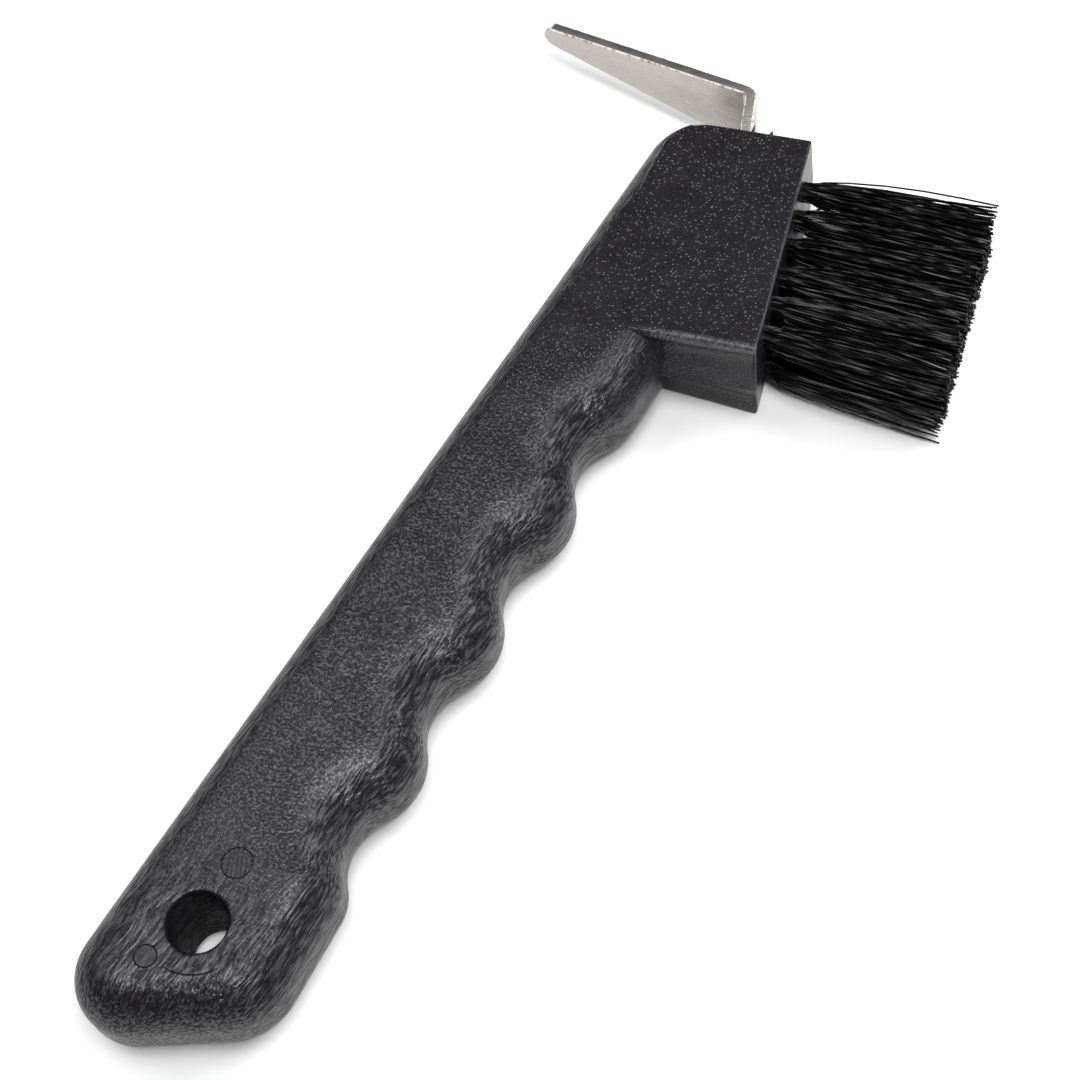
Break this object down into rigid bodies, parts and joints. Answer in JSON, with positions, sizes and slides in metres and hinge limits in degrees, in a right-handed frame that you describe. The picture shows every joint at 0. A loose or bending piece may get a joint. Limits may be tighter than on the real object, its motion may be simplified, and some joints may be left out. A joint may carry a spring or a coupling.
{
  "type": "hoof pick",
  "caption": "Hand tool for cleaning hooves: moulded plastic grip with finger valleys, hanging hole, bent steel pick blade and stiff bristle brush.",
  "frame": {"origin": "centre of the hanging hole, at half the handle's thickness", "axes": "+Z along the hanging hole, out of the front face; +Y along the handle to the pick blade; +X to the finger and brush side"},
  "size_m": [0.0921, 0.1753, 0.0172],
  "materials": {
    "handle_plastic": "moulded spark grain",
    "blade_steel": "satin plated strip",
    "bristle": "glossy drawn filament",
    "anchor_metal": "cut strip"
  },
  "bodies": {
    "root": {"handle": "handle_plastic", "pick_blade": "blade_steel", "tuft_r1_c1": "bristle", "tuft_r2_c1": "bristle", "tuft_r3_c1": "bristle", "tuft_r4_c1": "bristle", "tuft_r5_c1": "bristle", "tuft_r6_c1": "bristle", "tuft_r1_c2": "bristle", "tuft_r2_c2": "bristle", "tuft_r3_c2": "bristle", "tuft_r4_c2": "bristle", "tuft_r5_c2": "bristle", "tuft_r1_c3": "bristle", "tuft_r2_c3": "bristle", "tuft_r3_c3": "bristle", "tuft_r4_c3": "bristle", "tuft_r5_c3": "bristle", "tuft_r6_c3": "bristle", "anchor_r1_c1": "anchor_metal", "anchor_r2_c1": "anchor_metal", "anchor_r3_c1": "anchor_metal", "anchor_r4_c1": "anchor_metal", "anchor_r5_c1": "anchor_metal", "anchor_r6_c1": "anchor_metal", "anchor_r1_c2": "anchor_metal", "anchor_r2_c2": "anchor_metal", "anchor_r3_c2": "anchor_metal", "anchor_r4_c2": "anchor_metal", "anchor_r5_c2": "anchor_metal", "anchor_r1_c3": "anchor_metal", "anchor_r2_c3": "anchor_metal", "anchor_r3_c3": "anchor_metal", "anchor_r4_c3": "anchor_metal", "anchor_r5_c3": "anchor_metal", "anchor_r6_c3": "anchor_metal"}
  },
  "joints": []
}
